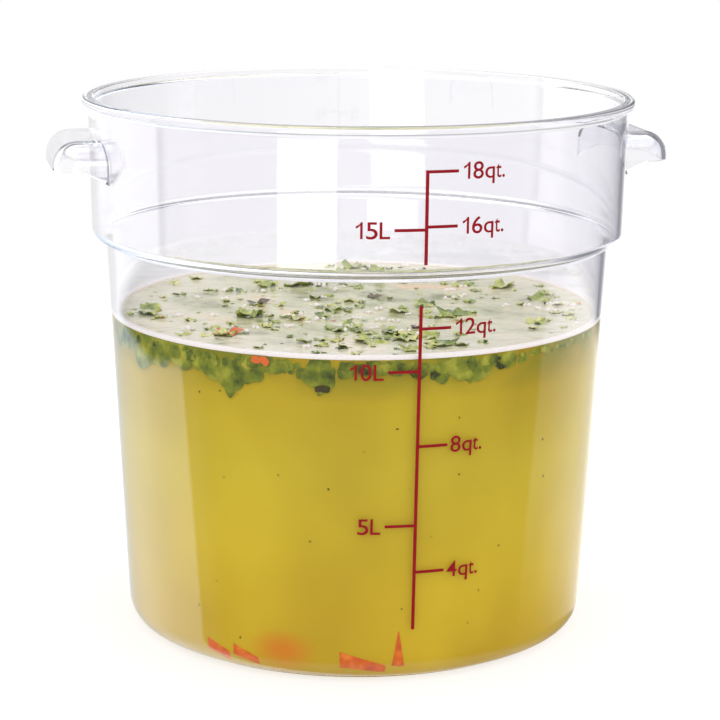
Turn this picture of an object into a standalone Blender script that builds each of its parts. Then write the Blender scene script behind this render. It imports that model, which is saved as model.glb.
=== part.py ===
"""Round food storage container: one clear moulding with two scoop handles, and its printed scale.

Metres, +Z up. The origin is the centre of the foot, on the surface that the container stands on.
The handles lie on +X and -X, and the printed scale faces -Y.
"""
import math

import bmesh
import bpy
from mathutils import Matrix

# Driving sizes of the moulding: the upper band reaches from the shoulder's ledge to the rim's top
HEIGHT = 0.310
UPPER_BAND = 0.0820
WALL = 0.0028
UPPER_TOP_RADIUS = 0.1554
UPPER_BOTTOM_RADIUS = 0.1542
LOWER_BOTTOM_RADIUS = 0.1357

# Rim bead: an upright face over a taper that dies into the wall
RIM_PROUD = 0.0036
RIM_FACE = 0.0036
RIM_TAPER = 0.0036
RIM_ROUND = 0.0010
RIM_MOUTH_ROUND = 0.0008

# Shoulder: the wall rounds inward onto a ledge, and a fillet turns it down again
SHOULDER_ROUND = 0.0058
SHOULDER_FILLET = 0.0025

# Base: a rounded corner, a low foot ring and a floor lifted off the table
CORNER_HEIGHT = 0.0125
CORNER_WIDTH = 0.0068
FOOT_INSET = 0.0014
FOOT_HEIGHT = 0.0022
FOOT_RING = 0.0065
FOOT_SLOPE = 0.0010
FLOOR_LIFT = 0.0012
FLOOR = 0.0034

# Scoop handles: hollow, open below, wider at the wall than at the lip, hung below the rim's top
HANDLE_PROUD = 0.0236
HANDLE_DROP = 0.0212
HANDLE_LIP_HEIGHT = 0.0162
HANDLE_WALL_HEIGHT = 0.0233
HANDLE_KNEE = 0.0160
HANDLE_HALF_WIDTH_WALL = 0.0455
HANDLE_HALF_WIDTH_LIP = 0.0390
HANDLE_ROUND = 0.0125
HANDLE_WALL = 0.0026

# Printed scale, laid on the outside of the wall a little to the right of its middle
INK_GAP = 0.0003
INK_THICKNESS = 0.0003
SCALE_OFFSET = 0.0040
LINE_WIDTH = 0.0018
TICK_WIDTH = 0.0016
TICK_LENGTH = 0.0160
LABEL_GAP = 0.0016
FIGURE_HEIGHT = 0.0089
SHOULDER_CLEAR = 0.0036
LEDGE_CLEAR = 0.0116
CORNER_CLEAR = 0.0165

# Each mark: its label, the side of the line that it stands on, and its height as a share of its wall
RIGHT = 1
LEFT = -1
UPPER_MARK_SHARES = [("18qt.", RIGHT, 0.6903), ("16qt.", RIGHT, 0.3110), ("15L", LEFT, 0.2913)]
LOWER_MARK_SHARES = [("12qt.", RIGHT, 0.8857), ("10L", LEFT, 0.7747), ("8qt.", RIGHT, 0.5764),
                     ("5L", LEFT, 0.3639), ("4qt.", RIGHT, 0.2362)]

# Width of each figure and the room that it takes, as shares of the figure height
FIGURE_WIDTH_SHARES = {"1": 0.36, "L": 0.60, "q": 0.62, "t": 0.36, ".": 0.16}
PLAIN_WIDTH_SHARE = 0.66
FIGURE_ROOM_SHARES = {"1": 0.72, "t": 0.42, ".": 0.26}
PLAIN_ROOM_SHARE = 0.76
CAPITAL_HEIGHT_SHARE = 0.69

# The figure one has a flag, which the built-in letter shapes lack: shares of its width and height
ONE_OUTLINE_SHARES = [(0.64, 0.0), (1.0, 0.0), (1.0, 1.0), (0.76, 1.0), (0.48, 0.85), (0.0, 0.75),
                      (0.0, 0.61), (0.36, 0.68), (0.64, 0.80)]

# How finely the round shapes are cut
TURN_STEPS = 72
ARC_STEPS = 4
FINE_ARC_STEPS = 6
EDGE_STEPS = 2
TICK_STEPS = 2
FIGURE_STEPS = 2
MERGE = 0.00001

# Sizes that follow from the ones above
SHOULDER_HEIGHT = HEIGHT - UPPER_BAND
SHOULDER_TOP = SHOULDER_HEIGHT + SHOULDER_ROUND
LEDGE_BOTTOM = SHOULDER_HEIGHT - SHOULDER_FILLET
LEDGE_RADIUS = UPPER_BOTTOM_RADIUS - SHOULDER_ROUND
LOWER_TOP_RADIUS = LEDGE_RADIUS - SHOULDER_FILLET
FLOOR_TOP = FLOOR_LIFT + FLOOR
CORNER_TOP = FOOT_HEIGHT + CORNER_HEIGHT
CORNER_RADIUS = LOWER_BOTTOM_RADIUS - CORNER_WIDTH
FOOT_RADIUS = CORNER_RADIUS - FOOT_INSET
RIM_BOTTOM = HEIGHT - RIM_FACE - RIM_TAPER
RIM_RADIUS = UPPER_TOP_RADIUS + RIM_PROUD
HANDLE_TOP = HEIGHT - HANDLE_DROP
HANDLE_LIP_BOTTOM = HANDLE_TOP - HANDLE_LIP_HEIGHT
HANDLE_WALL_BOTTOM = HANDLE_TOP - HANDLE_WALL_HEIGHT


def wall_radius(height):
    """Outer radius of the wall at a height, away from the rim and the shoulder."""
    if height > SHOULDER_HEIGHT:
        share = (height - SHOULDER_TOP) / (HEIGHT - SHOULDER_TOP)
        return UPPER_BOTTOM_RADIUS + (UPPER_TOP_RADIUS - UPPER_BOTTOM_RADIUS) * share
    share = (height - CORNER_TOP) / (LEDGE_BOTTOM - CORNER_TOP)
    return LOWER_BOTTOM_RADIUS + (LOWER_TOP_RADIUS - LOWER_BOTTOM_RADIUS) * share


# The handles grow out of the wall where it is at half their height
HANDLE_SEAT = wall_radius((HANDLE_TOP + HANDLE_WALL_BOTTOM) / 2)
HANDLE_REACH = HANDLE_SEAT + HANDLE_PROUD
HANDLE_WALL_X = math.sqrt(HANDLE_SEAT ** 2 - HANDLE_HALF_WIDTH_WALL ** 2)


def clear_scene():
    for old in list(bpy.data.objects):
        bpy.data.objects.remove(old, do_unlink=True)


def new_collection(name):
    group = bpy.data.collections.new(name)
    bpy.context.scene.collection.children.link(group)
    return group


def new_material(name, color, roughness, alpha=1.0, transmission=0.0):
    material = bpy.data.materials.new(name)
    material.use_nodes = True
    shader = material.node_tree.nodes["Principled BSDF"]
    shader.inputs["Base Color"].default_value = (*color, 1.0)
    shader.inputs["Roughness"].default_value = roughness
    shader.inputs["Metallic"].default_value = 0.0
    shader.inputs["Alpha"].default_value = alpha
    shader.inputs["Transmission Weight"].default_value = transmission
    return material


def object_from_bmesh(name, shape, group, material=None):
    mesh = bpy.data.meshes.new(name)
    shape.to_mesh(mesh)
    shape.free()
    piece = bpy.data.objects.new(name, mesh)
    group.objects.link(piece)
    if material:
        mesh.materials.append(material)
    return piece


def mark_as_cutter(piece):
    piece.hide_render = True
    piece.display_type = "WIRE"


def smooth(piece, angle=35.0):
    piece.data.shade_smooth()
    piece.data.set_sharp_from_angle(angle=math.radians(angle))


def boolean(piece, other, operation):
    cut = piece.modifiers.new(other.name, "BOOLEAN")
    cut.operation = operation
    cut.solver = "EXACT"
    cut.object = other


def arc(centre_r, centre_z, size_r, size_z, start, end, steps):
    """Points of an elliptical arc in the profile plane, both ends included."""
    points = []
    for step in range(steps + 1):
        angle = math.radians(start + (end - start) * step / steps)
        points.append((centre_r + size_r * math.cos(angle), centre_z + size_z * math.sin(angle)))
    return points


def inner_profile():
    """Inside of the moulding, from the middle of the floor up to the mouth."""
    corner_rise = CORNER_TOP - FLOOR_TOP
    points = [(0.0, FLOOR_TOP)]
    points += arc(CORNER_RADIUS - WALL, CORNER_TOP, CORNER_WIDTH, corner_rise, -90, 0, ARC_STEPS)
    points += arc(LEDGE_RADIUS, LEDGE_BOTTOM, SHOULDER_FILLET + WALL, SHOULDER_FILLET + WALL,
                  180, 90, ARC_STEPS)
    points += arc(LEDGE_RADIUS, SHOULDER_TOP, SHOULDER_ROUND - WALL, SHOULDER_ROUND - WALL,
                  -90, 0, ARC_STEPS)[1:]
    mouth = UPPER_TOP_RADIUS - WALL
    points += arc(mouth + RIM_MOUTH_ROUND, HEIGHT - RIM_MOUTH_ROUND, RIM_MOUTH_ROUND,
                  RIM_MOUTH_ROUND, 180, 90, EDGE_STEPS)
    return points


def outer_profile():
    """Outside of the moulding, from the top of the rim down to the middle of the underside."""
    points = arc(RIM_RADIUS - RIM_ROUND, HEIGHT - RIM_ROUND, RIM_ROUND, RIM_ROUND, 90, 0, EDGE_STEPS)
    points.append((RIM_RADIUS, HEIGHT - RIM_FACE))
    points.append((wall_radius(RIM_BOTTOM), RIM_BOTTOM))
    points += arc(LEDGE_RADIUS, SHOULDER_TOP, SHOULDER_ROUND, SHOULDER_ROUND, 0, -90, FINE_ARC_STEPS)
    points += arc(LEDGE_RADIUS, LEDGE_BOTTOM, SHOULDER_FILLET, SHOULDER_FILLET, 90, 180, ARC_STEPS)[1:]
    points += arc(CORNER_RADIUS, CORNER_TOP, CORNER_WIDTH, CORNER_HEIGHT, 0, -90, FINE_ARC_STEPS)
    points.append((FOOT_RADIUS, FOOT_HEIGHT))
    points.append((FOOT_RADIUS, 0.0))
    points.append((FOOT_RADIUS - FOOT_RING, 0.0))
    points.append((FOOT_RADIUS - FOOT_RING - FOOT_SLOPE, FLOOR_LIFT))
    points.append((0.0, FLOOR_LIFT))
    return points


def turned_object(name, points, group, material=None):
    """A profile in the XZ plane, turned round Z by a Screw modifier."""
    shape = bmesh.new()
    verts = [shape.verts.new((r, 0.0, z)) for r, z in points]
    for first, second in zip(verts, verts[1:]):
        shape.edges.new((first, second))
    piece = object_from_bmesh(name, shape, group, material)
    turn = piece.modifiers.new("Turn", "SCREW")
    turn.axis = "Z"
    turn.angle = 2 * math.pi
    turn.steps = TURN_STEPS
    turn.render_steps = TURN_STEPS
    turn.use_merge_vertices = True
    turn.merge_threshold = MERGE
    return piece


def scoop_block(name, group, reach, top, bottom, half_wall, half_lip, rounding):
    """A block from inside the wall out to the lip, narrowing outward, rounded at top and lip."""
    start = HANDLE_WALL_X - HANDLE_HALF_WIDTH_WALL
    slope = (half_wall - half_lip) / (reach - HANDLE_WALL_X)
    shape = bmesh.new()
    bmesh.ops.create_cube(shape, size=1.0)
    for vert in shape.verts:
        outward = vert.co.x > 0
        half = half_lip if outward else half_lip + slope * (reach - start)
        vert.co.x = reach if outward else start
        vert.co.y = math.copysign(half, vert.co.y)
        vert.co.z = top if vert.co.z > 0 else bottom
    rounded = []
    for edge in shape.edges:
        ends = [vert.co for vert in edge.verts]
        on_lip = all(co.x > (start + reach) / 2 for co in ends)
        on_top = all(co.z > (top + bottom) / 2 for co in ends)
        along_wall = all(co.x < (start + reach) / 2 for co in ends)
        upright = abs(ends[0].z - ends[1].z) > (top - bottom) / 2
        if (on_top and not along_wall) or (on_lip and upright):
            rounded.append(edge)
    bmesh.ops.bevel(shape, geom=rounded, offset=rounding, segments=ARC_STEPS, profile=0.5,
                    affect="EDGES", clamp_overlap=True)
    return object_from_bmesh(name, shape, group)


def prism(name, group, outline, half_width):
    """A flat outline in the XZ plane, made solid along Y for use as a cutter."""
    flat = bpy.data.curves.new(name, "CURVE")
    flat.dimensions = "2D"
    flat.fill_mode = "BOTH"
    flat.extrude = half_width
    line = flat.splines.new("POLY")
    line.points.add(len(outline) - 1)
    for point, (x, z) in zip(line.points, outline):
        point.co = (x, z, 0.0, 1.0)
    line.use_cyclic_u = True
    piece = mesh_from_curve(name, flat, group)
    piece.data.transform(Matrix.Rotation(math.radians(90), 4, "X"))
    return piece


def mesh_from_curve(name, curve, group, material=None):
    """Turns a curve or text block into a welded mesh object."""
    drawn = bpy.data.objects.new(name + "_drawn", curve)
    group.objects.link(drawn)
    bpy.context.view_layer.update()
    graph = bpy.context.evaluated_depsgraph_get()
    mesh = bpy.data.meshes.new_from_object(drawn.evaluated_get(graph))
    bpy.data.objects.remove(drawn, do_unlink=True)
    shape = bmesh.new()
    shape.from_mesh(mesh)
    bmesh.ops.remove_doubles(shape, verts=shape.verts, dist=MERGE)
    bmesh.ops.recalc_face_normals(shape, faces=shape.faces)
    bpy.data.meshes.remove(mesh)
    return object_from_bmesh(name, shape, group, material)


def scoop_handle(side, cutters):
    """One hollow handle, ready to be joined to the wall. Side is +1 for +X and -1 for -X."""
    label = "right" if side > 0 else "left"
    handle = scoop_block("handle_" + label, cutters, HANDLE_REACH, HANDLE_TOP, HANDLE_WALL_BOTTOM,
                         HANDLE_HALF_WIDTH_WALL, HANDLE_HALF_WIDTH_LIP, HANDLE_ROUND)
    hollow = scoop_block("hollow_" + label, cutters, HANDLE_REACH - HANDLE_WALL,
                         HANDLE_TOP - HANDLE_WALL, HANDLE_WALL_BOTTOM - HANDLE_WALL,
                         HANDLE_HALF_WIDTH_WALL - HANDLE_WALL, HANDLE_HALF_WIDTH_LIP - HANDLE_WALL,
                         HANDLE_ROUND - HANDLE_WALL)
    knee = HANDLE_REACH - HANDLE_KNEE
    below = HANDLE_WALL_BOTTOM - HANDLE_WALL
    outline = [(HANDLE_REACH + HANDLE_WALL, HANDLE_LIP_BOTTOM), (knee, HANDLE_LIP_BOTTOM),
               (HANDLE_WALL_X, HANDLE_WALL_BOTTOM), (HANDLE_WALL_X, below),
               (HANDLE_REACH + HANDLE_WALL, below)]
    slant = prism("slant_" + label, cutters, outline, HANDLE_HALF_WIDTH_WALL + HANDLE_WALL)
    top_middle = UPPER_TOP_RADIUS - WALL / 2
    bottom_middle = UPPER_BOTTOM_RADIUS - WALL / 2
    middle_of_wall = [(0.0, HEIGHT), (top_middle, HEIGHT), (bottom_middle, SHOULDER_TOP),
                      (bottom_middle, 0.0), (0.0, 0.0)]
    inside = turned_object("inside_" + label, middle_of_wall, cutters)
    boolean(handle, hollow, "DIFFERENCE")
    boolean(handle, slant, "DIFFERENCE")
    boolean(handle, inside, "DIFFERENCE")
    if side < 0:
        for piece in (handle, hollow, slant):
            piece.data.transform(Matrix.Rotation(math.pi, 4, "Z"))
    for piece in (handle, hollow, slant, inside):
        mark_as_cutter(piece)
    return handle


def container_body(parts, cutters, material):
    """The moulding: floor, wall, shoulder and rim turned in one, with both handles joined on."""
    body = turned_object("container_body", inner_profile() + outer_profile(), parts, material)
    for side in (RIGHT, LEFT):
        boolean(body, scoop_handle(side, cutters), "UNION")
    smooth(body)
    return body


def lay_on_wall(piece):
    """Wraps a flat print (x along the wall, y up, z out) onto the front of the wall."""
    for vert in piece.data.vertices:
        along, height, out = vert.co
        base = wall_radius(height)
        angle = (SCALE_OFFSET + along) / base
        radius = base + INK_GAP + INK_THICKNESS / 2 + out
        vert.co = (radius * math.sin(angle), -radius * math.cos(angle), height)
    piece.data.update()


def scale_outline(top, bottom, marks):
    """Outline of one upright line with its ticks, down the right side and up the left."""
    half_line = LINE_WIDTH / 2
    half_tick = TICK_WIDTH / 2

    def side_points(side, heights):
        points = []
        for height in heights:
            steps = [half_line + TICK_LENGTH * step / TICK_STEPS for step in range(TICK_STEPS + 1)]
            points += [(side * out, height + half_tick) for out in steps]
            points += [(side * out, height - half_tick) for out in reversed(steps)]
        return points

    right = sorted((height for _, side, height in marks if side == RIGHT), reverse=True)
    left = sorted((height for _, side, height in marks if side == LEFT), reverse=True)
    points = [(half_line, top)] + side_points(RIGHT, right) + [(half_line, bottom)]
    points += list(reversed([(-half_line, top)] + side_points(LEFT, left) + [(-half_line, bottom)]))
    kept = []
    for point in points:
        if not kept or math.dist(point, kept[-1]) > MERGE:
            kept.append(point)
    return kept


def scale_line(name, top, bottom, marks, parts, material):
    """One printed line with its ticks, as a thin layer on the wall."""
    flat = bpy.data.curves.new(name, "CURVE")
    flat.dimensions = "2D"
    flat.fill_mode = "BOTH"
    flat.extrude = INK_THICKNESS / 2
    outline = scale_outline(top, bottom, marks)
    line = flat.splines.new("POLY")
    line.points.add(len(outline) - 1)
    for point, (along, height) in zip(line.points, outline):
        point.co = (along, height, 0.0, 1.0)
    line.use_cyclic_u = True
    piece = mesh_from_curve(name, flat, parts, material)
    lay_on_wall(piece)


def figure_one(name):
    """The outline of the figure one, a unit high and a unit wide."""
    flat = bpy.data.curves.new(name, "CURVE")
    flat.dimensions = "2D"
    flat.fill_mode = "BOTH"
    line = flat.splines.new("POLY")
    line.points.add(len(ONE_OUTLINE_SHARES) - 1)
    for point, (across, up) in zip(line.points, ONE_OUTLINE_SHARES):
        point.co = (across, up, 0.0, 1.0)
    line.use_cyclic_u = True
    return flat


def figure_letter(name, letter):
    """A figure or letter in the built-in shapes."""
    text = bpy.data.curves.new(name, "FONT")
    text.body = letter
    text.size = 1.0
    text.resolution_u = FIGURE_STEPS
    text.render_resolution_u = 0
    return text


def figure_mesh(name, letter, parts, material):
    """One printed figure, upright at the origin, drawn to the figure height and its own width."""
    if letter == "1":
        drawing = figure_one(name)
        tall = FIGURE_HEIGHT
    else:
        drawing = figure_letter(name, letter)
        tall = FIGURE_HEIGHT / CAPITAL_HEIGHT_SHARE
    drawing.extrude = 0.5
    piece = mesh_from_curve(name, drawing, parts, material)
    low = min(vert.co.x for vert in piece.data.vertices)
    high = max(vert.co.x for vert in piece.data.vertices)
    width = FIGURE_WIDTH_SHARES.get(letter, PLAIN_WIDTH_SHARE) * FIGURE_HEIGHT
    piece.data.transform(Matrix.Diagonal((width / (high - low), tall, INK_THICKNESS, 1.0))
                         @ Matrix.Translation((-low, 0.0, 0.0)))
    return piece, width


def label_figures(label, side, height, parts, material):
    """The figures of one label, each its own piece, beside the end of its tick."""
    rooms = [FIGURE_ROOM_SHARES.get(letter, PLAIN_ROOM_SHARE) * FIGURE_HEIGHT for letter in label]
    label_width = sum(rooms)
    start = LINE_WIDTH / 2 + TICK_LENGTH + LABEL_GAP
    along = start if side == RIGHT else -start - label_width
    for letter, room in zip(label, rooms):
        word = "dot" if letter == "." else letter
        name = "mark_" + label.rstrip(".") + "_" + word
        piece, width = figure_mesh(name, letter, parts, material)
        place = along + (room - width) / 2
        piece.data.transform(Matrix.Translation((place, height - FIGURE_HEIGHT / 2, 0.0)))
        lay_on_wall(piece)
        along += room


def printed_scale(parts, material):
    """Both lines with their ticks, and the label beside each tick."""
    upper = [(label, side, SHOULDER_TOP + (HEIGHT - SHOULDER_TOP) * share)
             for label, side, share in UPPER_MARK_SHARES]
    lower = [(label, side, CORNER_TOP + (LEDGE_BOTTOM - CORNER_TOP) * share)
             for label, side, share in LOWER_MARK_SHARES]
    highest = max(height for _, _, height in upper)
    scale_line("scale_line_upper", highest + TICK_WIDTH / 2, SHOULDER_TOP + SHOULDER_CLEAR, upper, parts,
               material)
    scale_line("scale_line_lower", LEDGE_BOTTOM - LEDGE_CLEAR, CORNER_TOP + CORNER_CLEAR, lower, parts,
               material)
    for label, side, height in upper + lower:
        label_figures(label, side, height, parts, material)


clear_scene()
storage_container = new_collection("food_storage_container")
cutting_shapes = new_collection("cutting_shapes")
clear_plastic = new_material("clear_plastic", (0.92, 0.92, 0.95), 0.05, alpha=0.35, transmission=1.0)
red_ink = new_material("red_ink", (0.45, 0.01, 0.03), 0.45)
container_body(storage_container, cutting_shapes, clear_plastic)
printed_scale(storage_container, red_ink)
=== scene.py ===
import math
import random

import bpy
from mathutils import Matrix, Vector


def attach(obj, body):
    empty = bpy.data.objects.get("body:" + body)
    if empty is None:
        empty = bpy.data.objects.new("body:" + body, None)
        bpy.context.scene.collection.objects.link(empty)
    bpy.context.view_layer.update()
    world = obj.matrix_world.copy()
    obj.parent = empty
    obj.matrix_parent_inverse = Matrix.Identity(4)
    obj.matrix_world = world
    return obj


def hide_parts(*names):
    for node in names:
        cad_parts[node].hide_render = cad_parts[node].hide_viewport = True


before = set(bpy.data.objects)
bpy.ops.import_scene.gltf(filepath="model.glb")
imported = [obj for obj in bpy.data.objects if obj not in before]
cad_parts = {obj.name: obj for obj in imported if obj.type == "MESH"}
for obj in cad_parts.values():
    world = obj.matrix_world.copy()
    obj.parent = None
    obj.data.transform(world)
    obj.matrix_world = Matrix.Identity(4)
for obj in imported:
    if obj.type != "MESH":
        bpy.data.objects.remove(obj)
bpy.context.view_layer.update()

bpy.ops.object.select_all(action="DESELECT")

# The clear moulding: floor, foot ring, tapered wall, shoulder, upper band and rim bead, with a hollow
# scoop handle on each side. It is polished polycarbonate, injection moulded in one shot. Its section
# is drawn out here ring by ring from the middle of the floor, and the two handles are welded on.

RING_STEPS = 192
POLE = 0.0060
HEIGHT = 0.310
WALL = 0.0028
UNDERSIDE = 0.0012
FLOOR_BOTTOM = 0.0022
FLOOR_TOP = 0.0046
FOOT_INSIDE = 0.1185
FOOT_OUTSIDE = 0.1250
FOOT_BEVEL = 0.0010
CORNER_TOP = 0.0147
CORNER_WIDTH = 0.0068
LOWER_BOTTOM_RADIUS = 0.1357
LOWER_TOP_RADIUS = 0.1459
CORNER_RADIUS = LOWER_BOTTOM_RADIUS - CORNER_WIDTH
SIDE_LEVELS = (0.06, 0.12, 0.18)
LEDGE_BOTTOM = 0.2266
LEDGE_ROUND = 0.0025
LEDGE_RADIUS = LOWER_TOP_RADIUS + LEDGE_ROUND
SHOULDER_TOP = 0.2349
SHOULDER_ROUND = 0.0058
UPPER_BOTTOM_RADIUS = 0.1542
UPPER_TOP_RADIUS = 0.1554
RIM_RADIUS = 0.1590
RIM_UNDER = 0.3060
RIM_NECK = 0.0030
RIM_LOW_ROUND = 0.0004
RIM_TOP_ROUND = (0.0020, 0.0024)
MOUTH_ROUND = 0.0008


def wall_radius(height):
    """Outside radius of the wall at a height, on the upper band or on the lower wall."""
    if height > SHOULDER_TOP:
        share = (height - SHOULDER_TOP) / (HEIGHT - SHOULDER_TOP)
        return UPPER_BOTTOM_RADIUS + (UPPER_TOP_RADIUS - UPPER_BOTTOM_RADIUS) * share
    share = (height - CORNER_TOP) / (LEDGE_BOTTOM - CORNER_TOP)
    return LOWER_BOTTOM_RADIUS + (LOWER_TOP_RADIUS - LOWER_BOTTOM_RADIUS) * share


def bend(radius, height, wide, tall, start, end, steps):
    """Rings round a corner of the section, as (radius, height), between two angles in degrees."""
    turns = [math.radians(start + (end - start) * step / steps) for step in range(steps + 1)]
    return [(radius + wide * math.cos(turn), height + tall * math.sin(turn)) for turn in turns]


def raise_rings(rings):
    """Adds a disc at the first ring and draws its edge out through all the others, then closes it."""
    bpy.ops.object.select_all(action="DESELECT")
    radius, height = rings[0]
    bpy.ops.mesh.primitive_circle_add(vertices=RING_STEPS, radius=radius, location=(0, 0, height),
                                      fill_type="NGON")
    bpy.ops.object.transform_apply()
    bpy.ops.object.mode_set(mode="EDIT")
    bpy.ops.mesh.select_all(action="SELECT")
    bpy.ops.mesh.flip_normals()
    bpy.ops.mesh.select_mode(type="EDGE")
    for new_radius, new_height in rings[1:]:
        bpy.ops.mesh.extrude_edges_move()
        bpy.ops.transform.translate(value=(0, 0, new_height - height))
        grow = new_radius / radius
        bpy.ops.transform.resize(value=(grow, grow, 1), center_override=(0, 0, 0))
        radius, height = new_radius, new_height
    bpy.ops.mesh.edge_face_add()
    bpy.ops.mesh.select_all(action="SELECT")
    bpy.ops.mesh.normals_make_consistent(inside=False)
    bpy.ops.object.mode_set(mode="OBJECT")
    return bpy.context.object


neck_radius = RIM_RADIUS - RIM_LOW_ROUND
top_wide, top_tall = RIM_TOP_ROUND
wall_rings = [(POLE, UNDERSIDE), (FOOT_INSIDE - FOOT_BEVEL, UNDERSIDE), (FOOT_INSIDE, 0.0)]
wall_rings += [(FOOT_OUTSIDE, 0.0), (FOOT_OUTSIDE, FLOOR_BOTTOM)]
wall_rings += bend(CORNER_RADIUS, CORNER_TOP, CORNER_WIDTH, CORNER_TOP - FLOOR_BOTTOM, -90, 0, 12)
wall_rings += [(wall_radius(height), height) for height in SIDE_LEVELS]
wall_rings += bend(LEDGE_RADIUS, LEDGE_BOTTOM, LEDGE_ROUND, LEDGE_ROUND, 180, 90, 8)
wall_rings += bend(LEDGE_RADIUS, SHOULDER_TOP, SHOULDER_ROUND, SHOULDER_ROUND, -90, 0, 12)[1:]
wall_rings += bend(neck_radius, RIM_UNDER - RIM_NECK, neck_radius - UPPER_TOP_RADIUS, RIM_NECK, 180, 90, 6)
wall_rings += bend(neck_radius, RIM_UNDER + RIM_LOW_ROUND, RIM_LOW_ROUND, RIM_LOW_ROUND, -90, 0, 3)
wall_rings += bend(RIM_RADIUS - top_wide, HEIGHT - top_tall, top_wide, top_tall, 0, 90, 8)
wall_rings += bend(UPPER_TOP_RADIUS - WALL + MOUTH_ROUND, HEIGHT - MOUTH_ROUND, MOUTH_ROUND, MOUTH_ROUND,
                   90, 180, 4)
wall_rings += bend(LEDGE_RADIUS, SHOULDER_TOP, SHOULDER_ROUND - WALL, SHOULDER_ROUND - WALL, 0, -90, 8)
wall_rings += bend(LEDGE_RADIUS, LEDGE_BOTTOM, LEDGE_ROUND + WALL, LEDGE_ROUND + WALL, 90, 180, 8)[1:]
wall_rings += [(wall_radius(height) - WALL, height) for height in reversed(SIDE_LEVELS)]
wall_rings += bend(CORNER_RADIUS - WALL, CORNER_TOP, CORNER_WIDTH, CORNER_TOP - FLOOR_TOP, 0, -90, 10)
wall_rings += [(POLE, FLOOR_TOP)]
moulding = raise_rings(wall_rings)
moulding.name = "clear_moulding"

HANDLE_MIDDLE = (0.1550, 0, 0.2760)
HANDLE_SIZE = (0.0470, 0.0900, 0.0260)
HANDLE_TAPER = 0.866
HANDLE_ROUND = 0.0140
HANDLE_WALL = 0.0026
GRIP_LEVEL = 0.2728
GRIP_SLANT = 0.52
SLANT_END = 0.1625
TRIM_DEPTH = 0.0020
TRIM_BOTTOM = 0.2338
NEAR = 0.001


def combine(piece, other, how):
    """Joins another solid to a piece, or cuts the piece with it, and removes the other."""
    bpy.ops.object.select_all(action="DESELECT")
    bpy.context.view_layer.objects.active = piece
    piece.select_set(True)
    weld = piece.modifiers.new("Weld", "BOOLEAN")
    weld.operation = how
    weld.solver = "EXACT"
    weld.object = other
    bpy.ops.object.modifier_apply(modifier=weld.name)
    bpy.data.objects.remove(other, do_unlink=True)


def handle_block():
    """The handle's outside as a full block, narrower in front, with its top and front edges rounded."""
    bpy.ops.object.select_all(action="DESELECT")
    bpy.ops.mesh.primitive_cube_add(size=1, location=HANDLE_MIDDLE)
    handle = bpy.context.object
    handle.scale = HANDLE_SIZE
    bpy.ops.object.transform_apply()
    back, front = [HANDLE_MIDDLE[0] + half * HANDLE_SIZE[0] for half in (-0.5, 0.5)]
    top = HANDLE_MIDDLE[2] + HANDLE_SIZE[2] / 2
    bpy.ops.object.mode_set(mode="EDIT")
    bpy.ops.mesh.select_mode(type="FACE")
    bpy.ops.mesh.select_all(action="DESELECT")
    bpy.ops.object.mode_set(mode="OBJECT")
    for face in handle.data.polygons:
        face.select = face.normal.x > 0.9
    bpy.ops.object.mode_set(mode="EDIT")
    bpy.ops.transform.resize(value=(1, HANDLE_TAPER, 1), center_override=(0, 0, HANDLE_MIDDLE[2]))
    bpy.ops.mesh.select_all(action="DESELECT")
    bpy.ops.mesh.select_mode(type="EDGE")
    bpy.ops.object.mode_set(mode="OBJECT")
    for edge in handle.data.edges:
        ends = [handle.data.vertices[index].co for index in edge.vertices]
        middle = (ends[0] + ends[1]) / 2
        upright = abs(ends[0].z - ends[1].z) > HANDLE_SIZE[2] / 2
        on_top = middle.z > top - NEAR and middle.x > back + NEAR
        edge.select = on_top or (upright and middle.x > front - NEAR)
    bpy.ops.object.mode_set(mode="EDIT")
    bpy.ops.mesh.bevel(offset=HANDLE_ROUND, segments=9, profile=0.5, affect="EDGES")
    bpy.ops.object.mode_set(mode="OBJECT")
    return handle


def hollow(handle):
    """Cuts the block along its lower edge, opens it below and behind, and gives it its wall."""
    bpy.ops.object.mode_set(mode="EDIT")
    bpy.ops.mesh.select_all(action="SELECT")
    bpy.ops.mesh.bisect(plane_co=(0, 0, GRIP_LEVEL), plane_no=(0, 0, 1))
    bpy.ops.mesh.select_all(action="SELECT")
    bpy.ops.mesh.bisect(plane_co=(SLANT_END, 0, GRIP_LEVEL), plane_no=(-GRIP_SLANT, 0, 1))
    bpy.ops.mesh.select_all(action="DESELECT")
    bpy.ops.mesh.select_mode(type="FACE")
    bpy.ops.object.mode_set(mode="OBJECT")
    for face in handle.data.polygons:
        low_line = GRIP_LEVEL + GRIP_SLANT * min(face.center.x - SLANT_END, 0)
        face.select = face.center.z < low_line or face.normal.x < -0.9
    bpy.ops.object.mode_set(mode="EDIT")
    bpy.ops.mesh.delete(type="FACE")
    bpy.ops.mesh.select_all(action="SELECT")
    bpy.ops.mesh.remove_doubles(threshold=0.00005)
    bpy.ops.mesh.normals_make_consistent(inside=False)
    bpy.ops.object.mode_set(mode="OBJECT")
    thicken = handle.modifiers.new("Thickness", "SOLIDIFY")
    thicken.thickness = HANDLE_WALL
    thicken.offset = -1
    thicken.use_even_offset = True
    bpy.ops.object.modifier_apply(modifier=thicken.name)


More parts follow.
